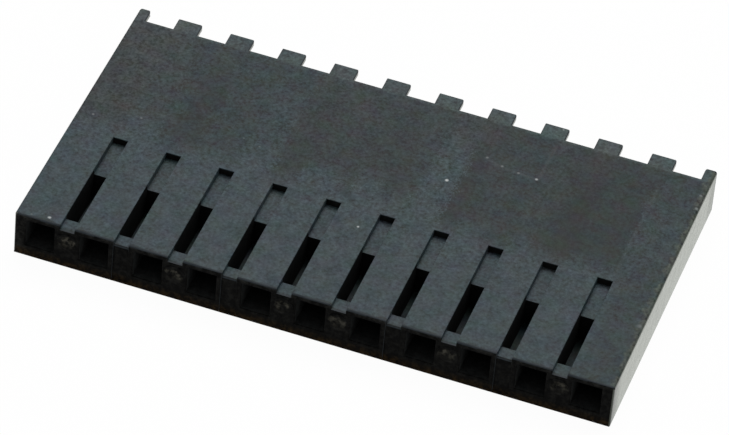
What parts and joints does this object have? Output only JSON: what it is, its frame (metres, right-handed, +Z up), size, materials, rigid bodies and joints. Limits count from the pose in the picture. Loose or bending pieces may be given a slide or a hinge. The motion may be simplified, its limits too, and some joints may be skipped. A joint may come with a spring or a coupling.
{
  "type": "connector receptacle housing",
  "caption": "Flat black plastic receptacle housing with a row of square contact cavities, stepped slots in its top over the inner walls, and thin tabs along its wire side.",
  "frame": {"origin": "on the flat bottom, under the centre of the whole housing", "axes": "+X along the row of contacts, +Y from the mating side to the wire side, +Z up through the thin slotted top"},
  "size_m": [0.0278, 0.0154, 0.0023],
  "materials": {
    "housing": "fine matte moulded thermoplastic, black with a slightly bluish cast"
  },
  "bodies": {
    "root": {"housing": "housing"}
  },
  "joints": []
}
